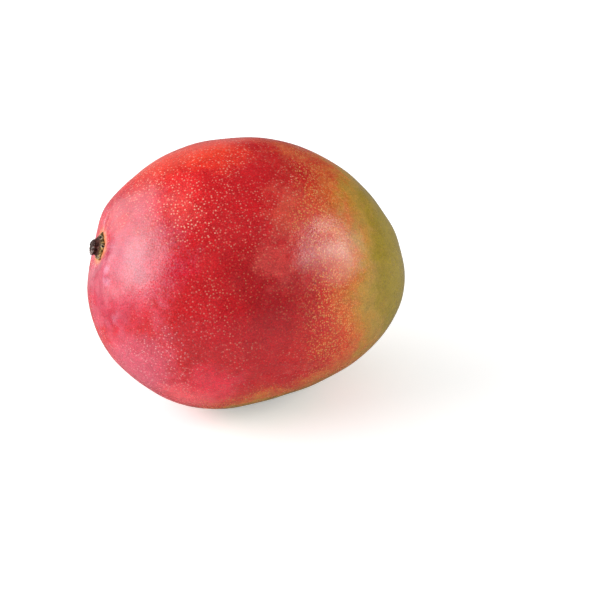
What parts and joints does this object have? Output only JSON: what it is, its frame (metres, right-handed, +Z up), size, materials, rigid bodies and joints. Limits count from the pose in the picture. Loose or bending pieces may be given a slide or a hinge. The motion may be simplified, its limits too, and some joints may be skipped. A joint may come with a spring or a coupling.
{
  "type": "mango",
  "caption": "Whole ripe mango: a plump, slightly lopsided egg shape with a short woody stem stub, lying on its side on a small flat spot.",
  "frame": {"origin": "on the ground under the middle of the object's box; the small flat spot that the fruit rests on is in this plane", "axes": "+X runs along the fruit from its stem end to its tip, +Z is up in the resting pose, and +Y is to the left of +X"},
  "size_m": [0.124, 0.097, 0.0988],
  "materials": {
    "skin": "waxy satin",
    "stem_bark": "rough"
  },
  "bodies": {
    "root": {"fruit": "skin", "stem_stub": "stem_bark"}
  },
  "joints": []
}
